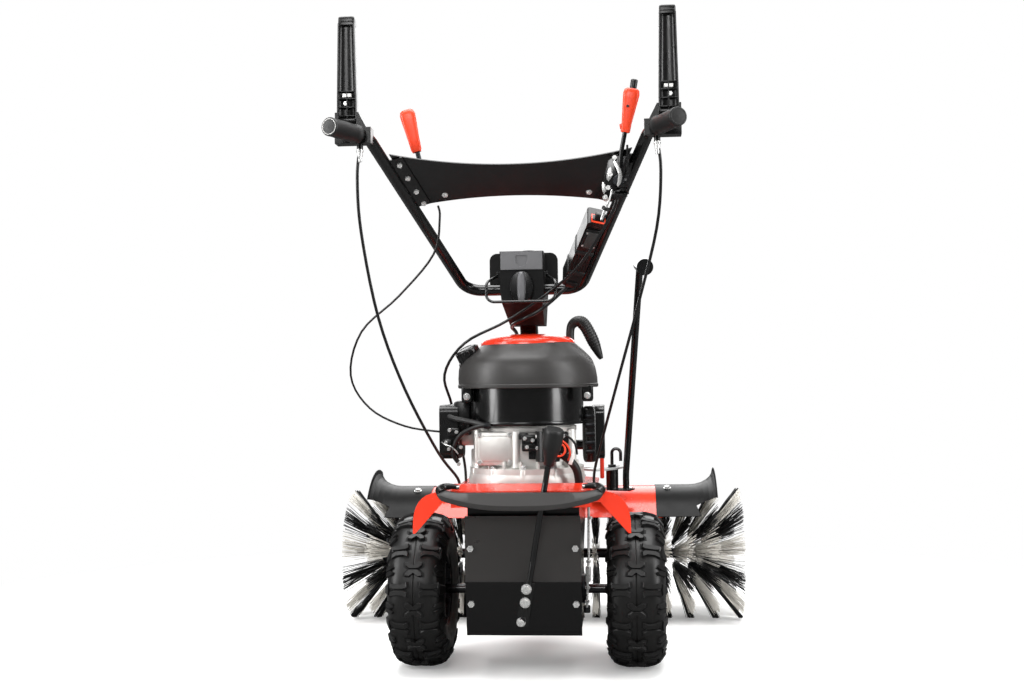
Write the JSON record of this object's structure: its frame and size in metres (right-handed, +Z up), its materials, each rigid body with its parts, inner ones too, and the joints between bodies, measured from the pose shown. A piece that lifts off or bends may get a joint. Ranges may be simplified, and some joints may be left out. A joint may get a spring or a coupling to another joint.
{
  "type": "power brush sweeper",
  "caption": "Walk-behind petrol sweeper: driven wheels, vertical-shaft engine, V handlebar with levers, and a wide two-part bristle brush on a swivelling covered head.",
  "frame": {"origin": "on the floor, under the middle of the machine between its outermost faces", "axes": "+X to the operator's right, +Y forward in the direction of travel, +Z up"},
  "size_m": [1, 1.255, 1.304],
  "materials": {
    "red_paint": "gloss orange-red powder coat on sheet steel",
    "black_paint": "gloss black powder coat on steel",
    "satin_shroud": "satin charcoal moulded plastic",
    "black_plastic": "black moulded plastic, fine grain",
    "grey_plastic": "grey satin plastic",
    "red_plastic": "orange-red moulded plastic",
    "cast_alloy": "sand-cast aluminium",
    "zinc_steel": "zinc-plated steel",
    "dark_steel": "oiled machined steel",
    "rubber": "black rubber",
    "tyre_rubber": "black tyre rubber with lugs",
    "bristle": "black and white nylon filaments",
    "cable_sheath": "black vinyl cable sheath"
  },
  "bodies": {
    "chassis": {"chassis_frame": "black_paint", "deck_plate": "red_paint", "lock_sector": "zinc_steel", "rear_cowl": "red_paint", "gate_panel": "black_plastic", "guard_plate": "black_paint", "frame_bolts": "zinc_steel", "axle_bearings": "dark_steel", "transaxle_case": "cast_alloy", "crankcase": "cast_alloy", "cylinder_block": "cast_alloy", "blower_housing": "black_paint", "engine_shroud": "satin_shroud", "top_cover": "red_plastic", "air_filter_box": "black_plastic", "carburettor": "cast_alloy", "muffler": "black_paint", "starter_motor": "black_plastic", "drive_belts": "rubber", "handle_post": "black_paint", "column_head": "black_plastic", "switch_panel": "grey_plastic", "cable_guide": "black_paint", "handlebar": "black_paint", "console_panel": "black_paint", "console_bolts": "zinc_steel", "grips": "rubber", "lever_perches": "black_plastic", "brake_bracket": "black_paint", "battery_box": "black_plastic", "left_clutch_cable": "cable_sheath", "right_clutch_cable": "cable_sheath", "throttle_cable": "cable_sheath", "brake_cable": "cable_sheath", "wiring_harness": "cable_sheath"},
    "wheels": {"axle_shaft": "black_paint", "wheel_rims": "black_paint", "tyres": "tyre_rubber"},
    "crank": {"crankshaft": "dark_steel", "engine_pulley": "dark_steel"},
    "drive_input": {"transaxle_pulley": "dark_steel"},
    "brush_head": {"brush_gearbox": "cast_alloy", "centre_cover": "red_paint", "side_covers": "black_plastic", "angle_lever": "black_paint"},
    "brush_rotor": {"brush_shaft": "dark_steel", "left_bristles": "bristle", "right_bristles": "bristle"},
    "brush_input": {"brush_pulley": "dark_steel"},
    "clamp_handle": {"angle_clamp": "black_paint"},
    "filler_cap": {"fuel_cap": "black_plastic"},
    "pull_grip": {"recoil_grip": "rubber"},
    "knob": {"switch_knob": "black_plastic"},
    "left_clutch": {"left_clutch_lever": "black_plastic"},
    "right_clutch": {"right_clutch_lever": "black_plastic"},
    "throttle": {"throttle_lever": "red_plastic"},
    "brake": {"brake_lever": "red_plastic"},
    "brake_release": {"brake_button": "black_plastic"},
    "shift": {"shift_lever": "black_paint", "shift_knob": "black_plastic"}
  },
  "joints": [
    {"name": "axle_spin", "type": "hinge", "parent": "chassis", "child": "wheels", "pos_m": [0, -0.10046, 0.165], "axis": [1, 0, 0], "continuous": true},
    {"name": "crank_spin", "type": "hinge", "parent": "chassis", "child": "crank", "pos_m": [0, -0.12546, 0.4], "axis": [0, 0, 1], "continuous": true},
    {"name": "drive_spin", "type": "hinge", "parent": "chassis", "child": "drive_input", "pos_m": [0, 0.00455, 0.3], "axis": [0, 0, 1], "continuous": true},
    {"name": "head_swing", "type": "hinge", "parent": "chassis", "child": "brush_head", "pos_m": [0, 0.41754, 0.347], "axis": [0, 0, 1], "range_deg": [-15, 15]},
    {"name": "brush_spin", "type": "hinge", "parent": "brush_head", "child": "brush_rotor", "pos_m": [0, 0.46254, 0.165], "axis": [1, 0, 0], "continuous": true},
    {"name": "brush_input_spin", "type": "hinge", "parent": "brush_head", "child": "brush_input", "pos_m": [0, 0.41754, 0.3], "axis": [0, 0, 1], "continuous": true},
    {"name": "clamp_turn", "type": "hinge", "parent": "brush_head", "child": "clamp_handle", "pos_m": [0.17796, 0.33075, 0.395], "axis": [0, 0, 1], "range_deg": [0, 90]},
    {"name": "cap_turn", "type": "hinge", "parent": "chassis", "child": "filler_cap", "pos_m": [-0.1098, -0.16385, 0.65277], "axis": [-0.3947, -0.2419, 0.8864], "range_deg": [0, 90]},
    {"name": "recoil_pull", "type": "slide", "parent": "chassis", "child": "pull_grip", "axis": [0, 0, 1], "range_m": [0, 0.5], "stiffness_N_per_m": 20, "springref_m": -0.3},
    {"name": "knob_turn", "type": "hinge", "parent": "chassis", "child": "knob", "pos_m": [0, -0.20445, 0.81], "axis": [0, -1, 0], "range_deg": [-60, 60]},
    {"name": "left_clutch_squeeze", "type": "hinge", "parent": "chassis", "child": "left_clutch", "pos_m": [-0.3, -0.51445, 1.108], "axis": [1, 0, 0], "range_deg": [0, 75], "stiffness_Nm_per_rad": 1.5, "springref_deg": -17.19},
    {"name": "right_clutch_squeeze", "type": "hinge", "parent": "chassis", "child": "right_clutch", "pos_m": [0.3, -0.51445, 1.108], "axis": [1, 0, 0], "range_deg": [0, 75], "stiffness_Nm_per_rad": 1.5, "springref_deg": -17.19},
    {"name": "throttle_turn", "type": "hinge", "parent": "chassis", "child": "throttle", "pos_m": [-0.178, -0.4152, 1.03073], "axis": [1, 0, 0], "range_deg": [-25, 25]},
    {"name": "brake_pull", "type": "hinge", "parent": "chassis", "child": "brake", "pos_m": [0.206, -0.46034, 0.98996], "axis": [1, 0, 0], "range_deg": [0, 25]},
    {"name": "brake_button_press", "type": "slide", "parent": "brake", "child": "brake_release", "axis": [-0.1029, 0.1736, -0.9794], "range_m": [0, 0.008], "stiffness_N_per_m": 500, "springref_m": -0.004},
    {"name": "shift_move", "type": "hinge", "parent": "chassis", "child": "shift", "pos_m": [0, -0.28846, 0.133], "axis": [0, 1, 0], "range_deg": [-29, 9]}
  ],
  "couplings": [
    {"joint": "brush_input_spin", "follows": "brush_spin", "ratio": 8}
  ]
}
